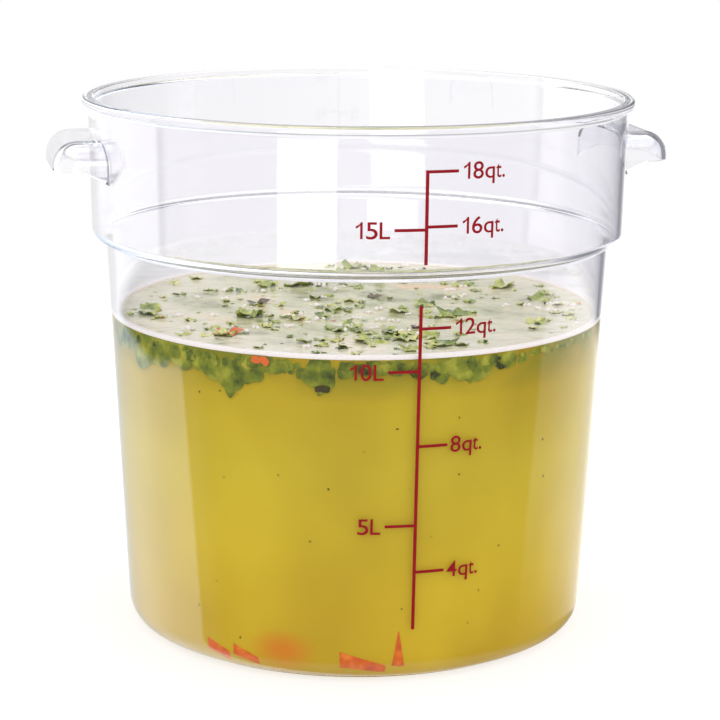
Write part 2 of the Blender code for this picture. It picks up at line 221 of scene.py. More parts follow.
def scoop(side):
    """One hollow handle, turned to its side and cut off inside the container's wall."""
    handle = handle_block()
    hollow(handle)
    if side < 0:
        bpy.ops.object.mode_set(mode="EDIT")
        bpy.ops.mesh.select_all(action="SELECT")
        bpy.ops.transform.rotate(value=math.pi, orient_axis="Z", center_override=(0, 0, 0))
        bpy.ops.object.mode_set(mode="OBJECT")
    bpy.ops.object.select_all(action="DESELECT")
    bpy.ops.mesh.primitive_cone_add(vertices=RING_STEPS, depth=HEIGHT - TRIM_BOTTOM,
                                    radius1=UPPER_BOTTOM_RADIUS - TRIM_DEPTH,
                                    radius2=UPPER_TOP_RADIUS - TRIM_DEPTH,
                                    location=(0, 0, (HEIGHT + TRIM_BOTTOM) / 2))
    core = bpy.context.object
    bpy.ops.object.transform_apply()
    combine(handle, core, "DIFFERENCE")
    return handle


for side in (1, -1):
    combine(moulding, scoop(side), "UNION")
bpy.ops.object.shade_smooth_by_angle(angle=math.radians(32))
even = moulding.modifiers.new("Even", "WEIGHTED_NORMAL")
even.keep_sharp = True
bpy.ops.object.modifier_apply(modifier=even.name)


def linear(red, green, blue):
    """A colour from 0 to 255, as seen, in the values that a shader takes."""
    shares = [value / 255 for value in (red, green, blue)]
    return tuple(share / 12.92 if share <= 0.04045 else ((share + 0.055) / 1.055) ** 2.4
                 for share in shares) + (1.0,)


def new_finish(name):
    """A material with its node tree and its Principled shader."""
    finish = bpy.data.materials.new(name)
    finish.use_nodes = True
    return finish, finish.node_tree, finish.node_tree.nodes["Principled BSDF"]


def feed(slot, value):
    """Sets a node's input to a number or a colour, or links it to another node's output."""
    if isinstance(value, bpy.types.NodeSocket):
        slot.id_data.links.new(value, slot)
    else:
        slot.default_value = value


def add_node(kind, *values):
    """A new node in the tree that the outputs among some values belong to."""
    tree = next(value.id_data for value in values if isinstance(value, bpy.types.NodeSocket))
    return tree.nodes.new("ShaderNode" + kind)


def calc(operation, *values):
    """Maths on numbers and on other nodes' outputs."""
    node = add_node("Math", *values)
    node.operation = operation
    for slot, value in zip(node.inputs, values):
        feed(slot, value)
    return node.outputs["Value"]


def rescale(value, start, end, low=0.0, high=1.0, easing="LINEAR"):
    """Goes from low to high as the value goes from start to end, and no further."""
    node = add_node("MapRange", value)
    node.interpolation_type = easing
    feed(node.inputs["Value"], value)
    for name, number in (("From Min", start), ("From Max", end), ("To Min", low), ("To Max", high)):
        feed(node.inputs[name], number)
    return node.outputs["Result"]


def own_place(tree, stretch=(1, 1, 1), shift=(0, 0, 0)):
    """Where a point is on the piece, in metres, stretched and then shifted."""
    place = tree.nodes.new("ShaderNodeTexCoord")
    turn = tree.nodes.new("ShaderNodeMapping")
    feed(turn.inputs["Vector"], place.outputs["Object"])
    feed(turn.inputs["Scale"], stretch)
    feed(turn.inputs["Location"], shift)
    return turn.outputs["Vector"]


def own_height(tree):
    """How high a point of the piece is, in metres."""
    place = own_place(tree)
    split = add_node("SeparateXYZ", place)
    feed(split.inputs["Vector"], place)
    return split.outputs["Z"]


def noise(tree, scale, detail=3.0, stretch=(1, 1, 1)):
    """A noise pattern on the piece, which may be stretched along an axis."""
    grain = tree.nodes.new("ShaderNodeTexNoise")
    feed(grain.inputs["Vector"], own_place(tree, stretch))
    feed(grain.inputs["Scale"], scale)
    feed(grain.inputs["Detail"], detail)
    return grain.outputs["Fac"]


def bump(shader, pattern, strength, distance):
    """Raises the finish where a pattern is high."""
    relief = add_node("Bump", pattern)
    feed(relief.inputs["Height"], pattern)
    feed(relief.inputs["Strength"], strength)
    feed(relief.inputs["Distance"], distance)
    feed(shader.inputs["Normal"], relief.outputs["Normal"])


def reflections(path):
    """How often a ray has been mirrored on its way, from a Light Path node."""
    return calc("SUBTRACT", path.outputs["Ray Depth"], path.outputs["Transmission Depth"])


def see_through(tree, tint):
    """A clear shader that lets a ray straight through."""
    node = tree.nodes.new("ShaderNodeBsdfTransparent")
    feed(node.inputs["Color"], tint)
    return node.outputs["BSDF"]


def choose(share, first, second):
    """The first shader, or the second where the share is 1."""
    node = add_node("MixShader", share)
    feed(node.inputs[0], share)
    feed(node.inputs[1], first)
    feed(node.inputs[2], second)
    return node.outputs["Shader"]


clear, tree, shader = new_finish("clear_polycarbonate")
feed(shader.inputs["Base Color"], linear(249, 248, 251))
feed(shader.inputs["Transmission Weight"], 1.0)
feed(shader.inputs["IOR"], 1.585)
scuffs = noise(tree, scale=260, detail=4)
feed(shader.inputs["Roughness"], rescale(scuffs, 0.35, 0.75, low=0.0, high=0.045))
bump(shader, noise(tree, scale=9, detail=1, stretch=(1, 1, 0.4)), strength=0.10, distance=0.002)

# Shadow and bounced light pass the plastic freely. A ray that is caught inside it would be ended by
# the renderer, which draws the rim and the ledge black, so past two reflections it is let out:
# freely in the rim, and dimmed below it.

TRAPPED_AFTER = 2.5
RIM_START = 0.2985
CLEAR_TINT = (0.985, 0.985, 0.99, 1)
DIM_TINT = (0.26, 0.26, 0.27, 1)
path = tree.nodes.new("ShaderNodeLightPath")
unseen = calc("MAXIMUM", path.outputs["Is Shadow Ray"], path.outputs["Is Diffuse Ray"])
trapped = calc("GREATER_THAN", reflections(path), TRAPPED_AFTER)
in_rim = calc("GREATER_THAN", own_height(tree), RIM_START)
passed = calc("MAXIMUM", unseen, calc("MULTIPLY", trapped, in_rim))
dimmed = choose(trapped, shader.outputs["BSDF"], see_through(tree, DIM_TINT))
feed(tree.nodes["Material Output"].inputs["Surface"], choose(passed, dimmed, see_through(tree, CLEAR_TINT)))
moulding.data.materials.clear()
moulding.data.materials.append(clear)
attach(moulding, "root")
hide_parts("container_body")

# The printed scale: red ink, screen-printed on the front of the wall. The two upright lines with
# ticks keep their solids' shape, and the eight labels are drawn finer where their figures stand.

LABELS = ("18qt", "16qt", "15L", "12qt", "10L", "8qt", "5L", "4qt")
INK_LIFT = 0.00005
INK_DEPTH = 0.00012
SOLID_INK_MIDDLE = 0.00045
STROKE_GROW = 0.006
ONE_GROW = 0.06


def ramp(value, *stops):
    """A colour that changes with a value, through (value, colour) stops."""
    band = add_node("ValToRGB", value)
    for extra in range(len(stops) - 2):
        band.color_ramp.elements.new(0.5)
    for element, (place, colour) in zip(band.color_ramp.elements, stops):
        element.position = place
        element.color = colour
    feed(band.inputs["Fac"], value)
    return band.outputs["Color"]


ink, tree, shader = new_finish("red_screen_ink")
grain = noise(tree, scale=1400, detail=2)
feed(shader.inputs["Base Color"], ramp(grain, (0.3, linear(140, 0, 14)), (0.7, linear(158, 4, 26))))
feed(shader.inputs["Roughness"], 0.45)
feed(shader.inputs["Specular IOR Level"], 0.2)
for name in ("scale_line_upper", "scale_line_lower"):
    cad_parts[name].data.materials.clear()
    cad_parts[name].data.materials.append(ink)


def wall_span(node):
    """Where a printed figure stands: its turn round the wall and its height, lowest and highest."""
    turns = [math.atan2(vertex.co.x, -vertex.co.y) for vertex in node.data.vertices]
    heights = [vertex.co.z for vertex in node.data.vertices]
    return min(turns), max(turns), min(heights), max(heights)


def wrap_figure(figure, across, upward, span):
    """Stretches a flat figure over its span and bends it round the wall as a thin film of ink."""
    left, right, low, high = span
    for vertex in figure.data.vertices:
        turn = left + (right - left) * (vertex.co.x - across[0]) / (across[1] - across[0])
        height = low + (high - low) * (vertex.co.y - upward[0]) / (upward[1] - upward[0])
        reach = wall_radius(height) + INK_LIFT + (INK_DEPTH if vertex.co.z > 0 else 0)
        vertex.co = (reach * math.sin(turn), -reach * math.cos(turn), height)


def drawn_letter(letter):
    """A letter as a thin mesh, with its plain outline's extent, and its strokes then grown."""
    extents = []
    for grow in (0.0, STROKE_GROW):
        bpy.ops.object.select_all(action="DESELECT")
        bpy.ops.object.text_add()
        text = bpy.context.object
        text.data.body = letter
        text.data.resolution_u = 8
        text.data.extrude = 0.05
        text.data.offset = grow
        bpy.ops.object.convert(target="MESH")
        figure = bpy.context.object
        if not grow:
            xs = [vertex.co.x for vertex in figure.data.vertices]
            ys = [vertex.co.y for vertex in figure.data.vertices]
            extents = [(min(xs), max(xs)), (min(ys), max(ys))]
            bpy.data.objects.remove(figure, do_unlink=True)
    return figure, extents[0], extents[1]


def copied_one(node):
    """The figure one, from a copy of its solid laid flat, because the letter shapes lack its flag."""
    figure = node.copy()
    figure.data = node.data.copy()
    bpy.context.collection.objects.link(figure)
    left, right, low, high = wall_span(node)
    for vertex in figure.data.vertices:
        turn = math.atan2(vertex.co.x, -vertex.co.y)
        out = vertex.co.xy.length - wall_radius(vertex.co.z)
        vertex.co = (turn, vertex.co.z, 1 if out > SOLID_INK_MIDDLE else 0)
    slim = (right - left) * ONE_GROW
    return figure, (left + slim, right - slim), (low, high)


for label in LABELS:
    figures = []
    for letter in label + ("." if label.endswith("t") else ""):
        node_name = "mark_%s_%s" % (label, "dot" if letter == "." else letter)
        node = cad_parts[node_name]
        figure, across, upward = copied_one(node) if letter == "1" else drawn_letter(letter)
        wrap_figure(figure, across, upward, wall_span(node))
        figures.append((figure, node_name))
    bpy.ops.object.select_all(action="DESELECT")
    for figure, node_name in figures:
        figure.select_set(True)
    bpy.context.view_layer.objects.active = figures[0][0]
    bpy.ops.object.join()
    printed = bpy.context.object
    printed.name = "label_" + label
    bpy.ops.object.mode_set(mode="EDIT")
    bpy.ops.mesh.select_all(action="SELECT")
    bpy.ops.mesh.remove_doubles(threshold=0.000002)
    bpy.ops.mesh.normals_make_consistent(inside=False)
    bpy.ops.object.mode_set(mode="OBJECT")
    printed.data.materials.clear()
    printed.data.materials.append(ink)
    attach(printed, "root")
    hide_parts(*[node_name for figure, node_name in figures])

# The broth: cloudy and yellow-green, filling the lower wall up to a little over the 10 L mark, with
# a pale skin and a ring of froth. It is poured in and wets the plastic, so its outside lies a hair
# deeper than the wall's inside.

WET = 0.0003
BROTH_LEVEL = 0.1841
BROTH_EDGE = (0.1390, 0.1845)
BROTH_LEVELS = (0.05, 0.10, 0.15, BROTH_EDGE[1])
broth_rings = [(POLE, FLOOR_TOP - WET)]
broth_rings += bend(CORNER_RADIUS - WALL, CORNER_TOP, CORNER_WIDTH + WET, CORNER_TOP - FLOOR_TOP + WET,
                    -90, 0, 10)
broth_rings += [(wall_radius(height) - WALL + WET, height) for height in BROTH_LEVELS]
broth_rings += [(BROTH_EDGE[0], BROTH_LEVEL), (POLE, BROTH_LEVEL)]
broth = raise_rings(broth_rings)
broth.name = "broth"
bpy.ops.object.shade_smooth_by_angle(angle=math.radians(32))


def mixed(share, first, second, kind="MIX"):
    """A colour that goes from the first to the second, or to their product, as the share goes to 1."""
    node = add_node("Mix", share, first, second)
    node.data_type = "RGBA"
    node.blend_type = kind
    feed(node.inputs[0], share)
    feed(node.inputs[6], first)
    feed(node.inputs[7], second)
    return node.outputs[2]


SUNKEN_AT = (-0.0640, -0.1160, 0.0170)
SUNKEN_REACH = (0.021, 0.021, 0.013)
cloudy, tree, shader = new_finish("cloudy_broth")
broth_height = own_height(tree)
depths = ramp(broth_height, (0.0, linear(214, 178, 30)), (0.050, linear(217, 186, 36)),
              (0.120, linear(210, 186, 44)), (0.160, linear(200, 174, 36)), (0.185, linear(182, 156, 28)))
clouds = noise(tree, scale=14, detail=2, stretch=(1, 1, 0.7))
murk = ramp(clouds, (0.30, linear(232, 228, 215)), (0.70, linear(255, 255, 255)))
# Near the top, soft olive-green noise patches are painted shadows of the herbs, blurred in the broth.
leafy = rescale(noise(tree, scale=26, detail=3, stretch=(1, 1, 1.5)), 0.36, 0.60, low=0.0, high=0.90)
near_top = rescale(broth_height, 0.160, 0.184)
murky = mixed(1.0, depths, murk, "MULTIPLY")
with_painted_herb_shadows = mixed(calc("MULTIPLY", near_top, leafy), murky, linear(124, 128, 30))
spot = tree.nodes.new("ShaderNodeTexGradient")
spot.gradient_type = "SPHERICAL"
feed(spot.inputs["Vector"], own_place(tree, [1 / reach for reach in SUNKEN_REACH],
                                      [-at / reach for at, reach in zip(SUNKEN_AT, SUNKEN_REACH)]))
by_carrot = ramp(spot.outputs["Fac"], (0.0, (0, 0, 0, 1)), (0.8, (0.85, 0.85, 0.85, 1)))
feed(shader.inputs["Base Color"], mixed(by_carrot, with_painted_herb_shadows, linear(218, 124, 26)))
feed(shader.inputs["Roughness"], 0.55)
feed(shader.inputs["IOR"], 1.33)
broth.data.materials.append(cloudy)
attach(broth, "root")

SKIN_TOP = 0.1852
SKIN_MIDDLE = 0.1851
SKIN_EDGE = [(0.1370, BROTH_LEVEL), (0.1388, 0.1846), (0.1386, 0.1853), (0.1200, SKIN_TOP)]
skin = raise_rings([(POLE, BROTH_LEVEL), *SKIN_EDGE, (POLE, SKIN_MIDDLE)])
skin.name = "broth_surface"
bpy.ops.object.shade_smooth_by_angle(angle=math.radians(50))
fatty, tree, shader = new_finish("broth_skin")
patches = ramp(noise(tree, scale=34, detail=5),
               (0.34, linear(142, 147, 90)), (0.43, linear(194, 195, 150)),
               (0.58, linear(218, 215, 178)), (0.70, linear(238, 208, 166)))
flat_place = own_place(tree, (1, 1, 0))
from_middle = add_node("VectorMath", flat_place)
from_middle.operation = "LENGTH"
feed(from_middle.inputs[0], flat_place)
edge_froth = rescale(from_middle.outputs["Value"], 0.065, 0.130, high=0.60, easing="SMOOTHSTEP")
feed(shader.inputs["Base Color"], mixed(edge_froth, patches, linear(242, 236, 214)))
feed(shader.inputs["Roughness"], 0.12)
bump(shader, noise(tree, scale=60, detail=6), strength=0.6, distance=0.0030)
skin.data.materials.append(fatty)
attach(skin, "root")

FROTH_HEIGHT = 0.1854
FROTH_RADIUS = 0.1401
FROTH_THICKNESS = 0.0015
FROTH_STRETCH = 1.15
bpy.ops.object.select_all(action="DESELECT")
bpy.ops.mesh.primitive_torus_add(major_radius=FROTH_RADIUS, minor_radius=FROTH_THICKNESS,
                                 major_segments=RING_STEPS, minor_segments=16,
                                 location=(0, 0, FROTH_HEIGHT))
froth = bpy.context.object
froth.name = "froth_ring"
bpy.ops.object.transform_apply()
bpy.ops.object.mode_set(mode="EDIT")
bpy.ops.mesh.select_all(action="SELECT")
bpy.ops.transform.resize(value=(1, 1, FROTH_STRETCH), center_override=(0, 0, FROTH_HEIGHT))
bpy.ops.object.mode_set(mode="OBJECT")
bpy.ops.object.shade_smooth()
foam, tree, shader = new_finish("pale_froth")
grains = noise(tree, scale=900, detail=2)
feed(shader.inputs["Base Color"], ramp(grains, (0.3, linear(248, 238, 232)), (0.7, linear(255, 250, 246))))
feed(shader.inputs["Roughness"], 0.3)
froth.data.materials.append(foam)
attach(froth, "root")

# Chopped herbs: small lobed scraps of leaf that float flat on the broth among white bubbles of froth,
# which also stand in for the glints on the wet herbs as painted highlights, and larger ones that hang
# under its surface against the wall. Each is one thin curled leaf, strewn from a few shapes, and a few
# scraps are brown or are bits of carrot.

ORANGE = 3.0
BROWN = -1.4
FULL_TURN = 6.28
HEAPS = 34
HEAP_REACH = 0.128
HEAP_SPREAD = 0.012
LOOSE_SPREAD = 0.060
SCRAPS = 400
CRUMB = (0.002, 0.005)
SCRAP = (0.006, 0.011)
LEAF = (0.014, 0.024)
OPEN_REACH = 0.1370
EDGE_SLACK = 0.0005
SIDE_START = 0.078
BUBBLE_GROUPS = 70
BUBBLE = (0.0005, 0.0015)
BUBBLE_LEVEL = 0.1853
strew = random.Random(1018)


def leaf_shape(name, lobes, seed, curl, notch=0.72):
    """A thin lobed leaf, 1 m across, which is scaled where it lies."""
    shape = random.Random(seed)
    bpy.ops.object.select_all(action="DESELECT")
    bpy.ops.mesh.primitive_circle_add(vertices=lobes * 3, radius=0.5, fill_type="TRIFAN")
    leaf = bpy.context.object
    leaf.name = name
    for vertex in leaf.data.vertices:
        if vertex.co.length > 0.1:
            lobe = (1.0, notch, 0.92)[vertex.index % 3]
            vertex.co *= lobe * shape.uniform(0.75, 1.1)
            vertex.co.y *= shape.uniform(0.6, 0.9)
            vertex.co.z = shape.uniform(-0.4, 0.8) * curl
    thicken = leaf.modifiers.new("Thickness", "SOLIDIFY")
    thicken.thickness = 0.03
    bpy.ops.object.modifier_apply(modifier=thicken.name)
    return leaf


flat_shapes = [leaf_shape("flat_%d" % count, 4 + count % 3, 40 + count, 0.10) for count in range(4)]
curled_shapes = [leaf_shape("curled_%d" % count, 5 + count % 2, 60 + count, 0.26) for count in range(4)]
broad_shapes = []
for count in range(5):
    broad = leaf_shape("broad_%d" % count, 5 + count % 2, 80 + count, 0.10, 0.84)
    soften = broad.modifiers.new("Soften", "SUBSURF")
    soften.levels = 1
    soften.render_levels = 1
    bpy.ops.object.modifier_apply(modifier=soften.name)
    broad_shapes.append(broad)


def lay_leaf(shape, where, size, turns, tone):
    """A copy of a leaf with its own mesh, at its place, size and turns, and with its own tone."""
    leaf = shape.copy()
    leaf.data = shape.data.copy()
    bpy.context.collection.objects.link(leaf)
    spin, tip, swing = turns
    turned = Matrix.Rotation(swing, 4, "Z") @ Matrix.Rotation(tip, 4, "Y") @ Matrix.Rotation(spin, 4, "Z")
    leaf.data.transform(Matrix.Translation(where) @ turned @ Matrix.Diagonal((*size, 1)))
    own = leaf.data.attributes.new("tone", "FLOAT", "POINT")
    own.data.foreach_set("value", [tone] * len(leaf.data.vertices))
    return leaf


def gather(bits, name, finish):
    """Joins leaves, bubbles or chunks into one piece that rides on the container."""
    bpy.ops.object.select_all(action="DESELECT")
    for bit in bits:
        bit.select_set(True)
    bpy.context.view_layer.objects.active = bits[0]
    bpy.ops.object.join()
    bpy.ops.object.transform_apply()
    piece = bpy.context.object
    piece.name = name
    piece.data.materials.clear()
    piece.data.materials.append(finish)
    bpy.ops.object.shade_smooth_by_angle(angle=math.radians(60))
    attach(piece, "root")


def herb_finish(name, tones, gloss):
    """Leaf green that changes with each scrap's tone, from brown through greens to orange, mottled by
    noise.
    """
    herb, tree, shader = new_finish(name)
    own = tree.nodes.new("ShaderNodeAttribute")
    own.attribute_name = "tone"
    mottled = calc("MULTIPLY_ADD", own.outputs["Fac"], 0.25, noise(tree, scale=110, detail=4))
    greens = zip((0.40, 0.54, 0.70, 0.86), tones)
    leafy = ramp(mottled, (0.14, linear(92, 62, 12)), *greens, (1.0, linear(226, 108, 40)))
    feed(shader.inputs["Base Color"], leafy)
    bump(shader, noise(tree, scale=420, detail=3), strength=0.6, distance=0.0008)
    feed(shader.inputs["Roughness"], gloss)
    feed(shader.inputs["Coat Weight"], 0.7 if gloss < 0.3 else 0.0)
    feed(shader.inputs["Coat Roughness"], 0.06)
    return herb


wet_herb = herb_finish("wet_herb", (linear(60, 80, 8), linear(120, 142, 28), linear(182, 190, 78),
                                    linear(228, 224, 150)), 0.12)
steeped_herb = herb_finish("steeped_herb", (linear(54, 62, 2), linear(92, 106, 6), linear(130, 138, 14),
                                            linear(172, 170, 48)), 0.6)

# The scraps lie in heaps, thinner and paler at the photo's left and right. Every 67th is carrot, and
# every 41st is brown.

floating = []
heaps = [(HEAP_REACH * math.sqrt(strew.random()), strew.uniform(0, 2 * math.pi)) for count in range(HEAPS)]
for count in range(SCRAPS):
    reach, swing = strew.choice(heaps)
    where = Vector((reach * math.cos(swing), reach * math.sin(swing), 0))
    spread = HEAP_SPREAD if count % 5 < 3 else LOOSE_SPREAD
    where += Vector((strew.gauss(0, spread), strew.gauss(0, spread), 0))
    kind = strew.random()
    across = strew.uniform(*CRUMB) if kind < 0.5 else strew.uniform(*SCRAP)
    if kind > 0.88:
        across = strew.uniform(*LEAF)
    at_side = abs(0.98 * where.x - 0.20 * where.y) > SIDE_START
    if at_side and strew.random() < 0.5:
        continue
    if where.length > OPEN_REACH + EDGE_SLACK - across / 2:
        where *= (OPEN_REACH - across / 2) * strew.uniform(0.85, 1.0) / where.length
    where.z = SKIN_TOP + 0.04 * across
    shape = strew.choice(curled_shapes if kind > 0.45 else flat_shapes)
    turns = (strew.uniform(0, FULL_TURN), strew.uniform(-0.2, 0.2), strew.uniform(0, FULL_TURN))
    tone = ORANGE if count % 67 == 5 else (BROWN if count % 41 == 3 else strew.random())
    if 0 < tone < 1:
        tone = min(tone + (0.5 if at_side else 0.1), 0.95)
    floating.append(lay_leaf(shape, where, (across, across, across * 0.7), turns, tone))
gather(floating, "floating_herbs", wet_herb)

# Small white bubbles of froth in groups by the heaps. They also stand in for the glints on the wet herbs:
# painted highlights.
bubbles = []
for count in range(BUBBLE_GROUPS):
    reach, swing = strew.choice(heaps)
    middle = Vector((reach * math.cos(swing) + strew.gauss(0, 0.014),
                     reach * math.sin(swing) + strew.gauss(0, 0.014)))
    for part in range(4):
        spot = middle + Vector((strew.gauss(0, 0.0018), strew.gauss(0, 0.0012)))
        size = strew.uniform(*BUBBLE)
        if spot.length > OPEN_REACH:
            continue
        bpy.ops.mesh.primitive_uv_sphere_add(segments=10, ring_count=6, radius=size,
                                             location=(spot.x, spot.y, BUBBLE_LEVEL + size * 0.3))
        bubbles.append(bpy.context.object)
gather(bubbles, "froth_bubbles_and_glints", foam)

PRESSED = (0.0001, 0.0004)
PRESSED_HARD = 0.0009
LEAF_DEPTH = 0.003
HANG_TOP = 0.1842
TOP_ROW = 0.1840
BACK_ROW = 0.1790
TOP_LEAVES = 300
SPECKS = 90
BACK_LEAVES = 34


def hang_leaf(azimuth, height, across, tone):
    """A leaf pressed flat against the inside of the wall, at degrees from the front towards +X."""
    pressed = PRESSED_HARD if abs(tone) > 1 else strew.uniform(*PRESSED)
    reach = wall_radius(height) - WALL + WET + pressed
    swing = math.radians(azimuth - 90)
    turns = (strew.uniform(0, FULL_TURN), math.pi / 2, 0)
    leaf = lay_leaf(strew.choice(broad_shapes), (0, 0, 0), (across, across, LEAF_DEPTH), turns, tone)
    for vertex in leaf.data.vertices:
        out, along, up = vertex.co
        turn = swing + along / reach
        level = min(height + up, HANG_TOP)
        vertex.co = ((reach + out) * math.cos(turn), (reach + out) * math.sin(turn), level)
    return leaf


CLUMPS = ((-75, 0.1800, 0.026), (-68, 0.1795, 0.036), (-61, 0.1795, 0.034), (-55, 0.1800, 0.026),
          (-47, 0.1762, 0.024), (-42, 0.1732, 0.027), (-37.5, 0.1735, 0.026), (-31, 0.1795, 0.012),
          (-26, 0.1790, 0.014), (-22, 0.1762, 0.023), (-18.5, 0.1748, 0.022), (-13, 0.1800, 0.012),
          (-8, 0.1797, 0.012), (-3, 0.1795, 0.013), (2, 0.1790, 0.014), (7, 0.1780, 0.017),
          (12, 0.1757, 0.022), (16, 0.1770, 0.016), (22, 0.1797, 0.012), (29, 0.1806, 0.009),
          (36, 0.1808, 0.008))
ODD_BITS = ((-34.0, 0.1822, 0.007, ORANGE), (-32.0, 0.1820, 0.008, ORANGE),
            (-19.9, 0.1684, 0.006, BROWN), (-18.6, 0.1682, 0.007, BROWN + 0.1))

# The clumps hang where the photo shows them, each of three leaves. A row of smaller leaves goes all
# round, with specks below it and larger leaves at the back.

hanging = []
for azimuth, height, across in CLUMPS:
    for size, tone in ((1.0, 0.35), (0.7, 0.75), (0.5, 0.0)):
        tone += 0.5 if azimuth > 8 or azimuth < -53 else strew.uniform(-0.25, 0.25)
        hanging.append(hang_leaf(azimuth + strew.uniform(-2.0, 2.0), height + strew.uniform(-0.002, 0.002),
                                 across * size * strew.uniform(0.85, 1.1), min(tone, 0.8)))
for azimuth, height, across, tone in ODD_BITS:
    hanging.append(hang_leaf(azimuth, height, across, tone))
for count in range(TOP_LEAVES):
    azimuth = strew.uniform(-180, 180)
    sparse = 25 < azimuth < 100
    across = strew.uniform(0.003, 0.005) if sparse else strew.uniform(0.005, 0.011)
    hanging.append(hang_leaf(azimuth, TOP_ROW - across / 3 - strew.uniform(0, 0.0025), across,
                             strew.uniform(0.8, 1.2) if sparse else strew.random()))
for count in range(SPECKS):
    hanging.append(hang_leaf(strew.uniform(-180, 180), strew.uniform(0.020, 0.165),
                             strew.uniform(0.0007, 0.0017), -0.5))
for count in range(BACK_LEAVES):
    hanging.append(hang_leaf(strew.uniform(65, 285), BACK_ROW - strew.uniform(0, 0.006),
                             strew.uniform(0.012, 0.024), strew.random()))
gather(hanging, "hanging_herbs", steeped_herb)

for shape in flat_shapes + curled_shapes + broad_shapes:
    bpy.data.objects.remove(shape, do_unlink=True)

# Carrot: a few cooked sticks and chunks, cut by hand, that have sunk to the floor at the front. Each
# is a block that tapers to one end, uneven as cut, and lies pressed against the round corner.

CUTS = ((-46.3, 0.0112, (0.0145, 0.0065), 0.28, 0.8), (-38.5, 0.0115, (0.0155, 0.0065), 0.22, 0.6),
        (-9.8, 0.0122, (0.0250, 0.0095), 0.10, 0.4), (-1.4, 0.0190, (0.0070, 0.0200), 0.06, 0.1))
CHUNK_DEPTH = 0.007
CHUNK_PRESSED = 0.0006
WALL_LEAN = 0.048
BEND_RADIUS = 0.132
carrot, tree, shader = new_finish("cooked_carrot")
flesh = ramp(noise(tree, scale=160, detail=3), (0.3, linear(206, 84, 0)), (0.55, linear(228, 106, 4)),
             (0.75, linear(240, 138, 30)))
feed(shader.inputs["Base Color"], flesh)
feed(shader.inputs["Roughness"], 0.5)
chunks = []
for azimuth, height, size, turn, taper in CUTS:
    bpy.ops.object.select_all(action="DESELECT")
    bpy.ops.mesh.primitive_cube_add(size=1)
    chunk = bpy.context.object
    bpy.ops.object.mode_set(mode="EDIT")
    bpy.ops.mesh.select_all(action="SELECT")
    bpy.ops.mesh.subdivide(number_cuts=4)
    bpy.ops.object.mode_set(mode="OBJECT")
    for vertex in chunk.data.vertices:
        across, back, up = vertex.co
        if size[1] > size[0]:
            across *= 1 - (1 - taper) * (up + 0.5)
        else:
            up = (up + 0.5) * (1 - (1 - taper) * (across + 0.5)) - 0.5
        along = size[0] * across * strew.uniform(0.96, 1.04)
        level = height + size[1] * up * strew.uniform(0.92, 1.08) - turn * along
        fall = min(max((CORNER_TOP - level) / (CORNER_TOP - FLOOR_TOP), 0.0), 0.95)
        reach = CORNER_RADIUS - WALL + CORNER_WIDTH * math.sqrt(1 - fall * fall) + CHUNK_PRESSED
        reach += max(level - CORNER_TOP, 0.0) * WALL_LEAN - CHUNK_DEPTH * (back + 0.5)
        swing = math.radians(azimuth) + along / BEND_RADIUS
        vertex.co = (reach * math.sin(swing), -reach * math.cos(swing), level)
    chunks.append(chunk)
gather(chunks, "carrot_bits", carrot)

# The studio: a pale floor that keeps a soft shadow, an even white surround, and the camera. Floor and
# surround show white where they are looked at, straight or through the plastic. What the plastic
# mirrors is a darker room with two bright cloths, a strip of light and a light overhead.

FLOOR_GLOW = 0.45
FLOOR_SHOWN = 0.64
bpy.ops.object.select_all(action="DESELECT")
bpy.ops.mesh.primitive_circle_add(vertices=96, radius=0.9, location=(0, 0, -0.0002), fill_type="NGON")
ground = bpy.context.object
bpy.ops.object.transform_apply()
ground.name = "studio_floor"
paper, tree, shader = new_finish("white_floor")
feed(shader.inputs["Base Color"], (0.42, 0.42, 0.42, 1))
feed(shader.inputs["Roughness"], 0.9)
feed(shader.inputs["Specular IOR Level"], 0.0)
feed(shader.inputs["Emission Color"], (1, 1, 1, 1))
path = tree.nodes.new("ShaderNodeLightPath")
looked_at = calc("MAXIMUM", path.outputs["Is Camera Ray"], path.outputs["Is Transmission Ray"])
feed(shader.inputs["Emission Strength"], rescale(looked_at, 0.0, 1.0, FLOOR_GLOW, FLOOR_SHOWN))
mirrored = calc("MULTIPLY", calc("GREATER_THAN", reflections(path), 0.5), path.outputs["Is Glossy Ray"])
feed(tree.nodes["Material Output"].inputs["Surface"],
     choose(mirrored, shader.outputs["BSDF"], see_through(tree, (1, 1, 1, 1))))
ground.data.materials.append(paper)

VIEW_TURN = 12
SPLIT = (-13.5, -12.5)
CLOTH_EDGE = (87.0, 89.5)
CLOTH_HEM = (-20.6, -21.0)
CLOTH_SLANT = -0.96
LEFT_STRENGTH = 1.45
RIGHT_STRENGTH = 1.05
STRIP_STRENGTH = 2.2
OVERHEAD_STRENGTH = 1.4
ROOM_STRENGTH = 0.10
LAMP_STRENGTH = 1.02
BACKDROP_STRENGTH = 1.0
world = bpy.data.worlds.new("studio")
bpy.context.scene.world = world
world.use_nodes = True
room = world.node_tree
room.nodes.clear()


def plus(first, *others):
    """The sum of some values."""
    for other in others:
        first = calc("ADD", first, other)
    return first


def times(first, *others):
    """The product of some values."""
    for other in others:
        first = calc("MULTIPLY", first, other)
    return first


def without(value):
    """What is left of 1."""
    return calc("SUBTRACT", 1.0, value)


def step_up(value, start, end):
    """Rises smoothly from 0 to 1 as the value goes from start to end."""
    return rescale(value, start, end, easing="SMOOTHSTEP")


# Directions are in degrees, seen from the container: azimuth is 0 towards the camera, 90 on its right
# and 180 behind the container, left is its opposite, and rise is the height over the horizon. The
# lower wall mirrors what lies below the split, and the upper band what lies above it.

